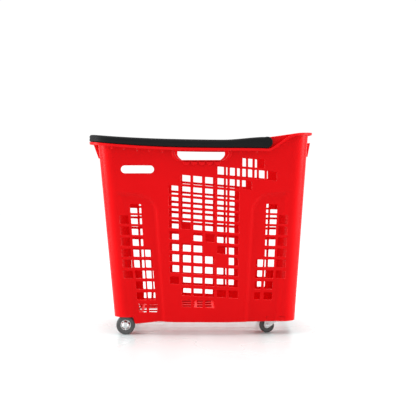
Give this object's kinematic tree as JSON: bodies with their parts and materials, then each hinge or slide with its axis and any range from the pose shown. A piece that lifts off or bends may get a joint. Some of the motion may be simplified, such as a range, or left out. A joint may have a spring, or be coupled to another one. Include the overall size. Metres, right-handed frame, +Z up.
{
  "type": "rolling shopping basket",
  "caption": "Tapered red plastic shopping basket with window-like holes, a folding U-shaped pull handle, fixed rear wheels and swivel casters in front.",
  "frame": {"origin": "on the floor, under the middle of the basket's bounding box", "axes": "+X along the basket towards the swivel casters, +Y to its left, +Z up"},
  "size_m": [0.5109, 0.3844, 0.4673],
  "materials": {
    "red_plastic": "satin moulded polypropylene",
    "black_plastic": "fine matt grain",
    "white_plastic": "smooth",
    "grey_plastic": "moulded nylon",
    "tyre_rubber": "smooth dark grey tread",
    "zinc_steel": "bright zinc plate"
  },
  "bodies": {
    "basket": {"basket_body": "red_plastic", "handle_pivot_pin_left": "red_plastic", "handle_pivot_pin_right": "red_plastic", "label_plate_left": "white_plastic", "label_plate_right": "white_plastic", "rear_axle": "zinc_steel", "rear_axle_cap_left": "zinc_steel", "rear_axle_cap_right": "zinc_steel", "caster_plate_left": "zinc_steel", "caster_plate_right": "zinc_steel", "caster_kingpin_left": "zinc_steel", "caster_kingpin_right": "zinc_steel", "caster_bearing_left": "white_plastic", "caster_bearing_right": "white_plastic", "caster_screw_left_1": "zinc_steel", "caster_screw_left_2": "zinc_steel", "caster_screw_left_3": "zinc_steel", "caster_screw_left_4": "zinc_steel", "caster_screw_right_1": "zinc_steel", "caster_screw_right_2": "zinc_steel", "caster_screw_right_3": "zinc_steel", "caster_screw_right_4": "zinc_steel"},
    "handle": {"pull_handle": "black_plastic"},
    "rear_wheel_left": {"rear_hub_left": "grey_plastic", "rear_tyre_left": "tyre_rubber"},
    "caster_swivel_left": {"caster_fork_left": "grey_plastic", "caster_axle_left": "zinc_steel"},
    "caster_wheel_left": {"caster_hub_left": "grey_plastic", "caster_tyre_left": "tyre_rubber"},
    "rear_wheel_right": {"rear_hub_right": "grey_plastic", "rear_tyre_right": "tyre_rubber"},
    "caster_swivel_right": {"caster_fork_right": "grey_plastic", "caster_axle_right": "zinc_steel"},
    "caster_wheel_right": {"caster_hub_right": "grey_plastic", "caster_tyre_right": "tyre_rubber"}
  },
  "joints": [
    {"name": "handle_fold", "type": "hinge", "parent": "basket", "child": "handle", "pos_m": [0.15, 0, 0.445], "axis": [0, 1, 0], "range_deg": [0, 150]},
    {"name": "rear_wheel_spin_left", "type": "hinge", "parent": "basket", "child": "rear_wheel_left", "pos_m": [-0.1745, 0.122, 0.022], "axis": [0, 1, 0], "continuous": true},
    {"name": "caster_turn_left", "type": "hinge", "parent": "basket", "child": "caster_swivel_left", "pos_m": [0.173, 0.098, 0.0355], "axis": [0, 0, 1], "continuous": true},
    {"name": "caster_wheel_spin_left", "type": "hinge", "parent": "caster_swivel_left", "child": "caster_wheel_left", "pos_m": [0.155, 0.098, 0.0175], "axis": [0, 1, 0], "continuous": true},
    {"name": "rear_wheel_spin_right", "type": "hinge", "parent": "basket", "child": "rear_wheel_right", "pos_m": [-0.1745, -0.122, 0.022], "axis": [0, 1, 0], "continuous": true},
    {"name": "caster_turn_right", "type": "hinge", "parent": "basket", "child": "caster_swivel_right", "pos_m": [0.173, -0.098, 0.0355], "axis": [0, 0, 1], "continuous": true},
    {"name": "caster_wheel_spin_right", "type": "hinge", "parent": "caster_swivel_right", "child": "caster_wheel_right", "pos_m": [0.155, -0.098, 0.0175], "axis": [0, 1, 0], "continuous": true}
  ]
}
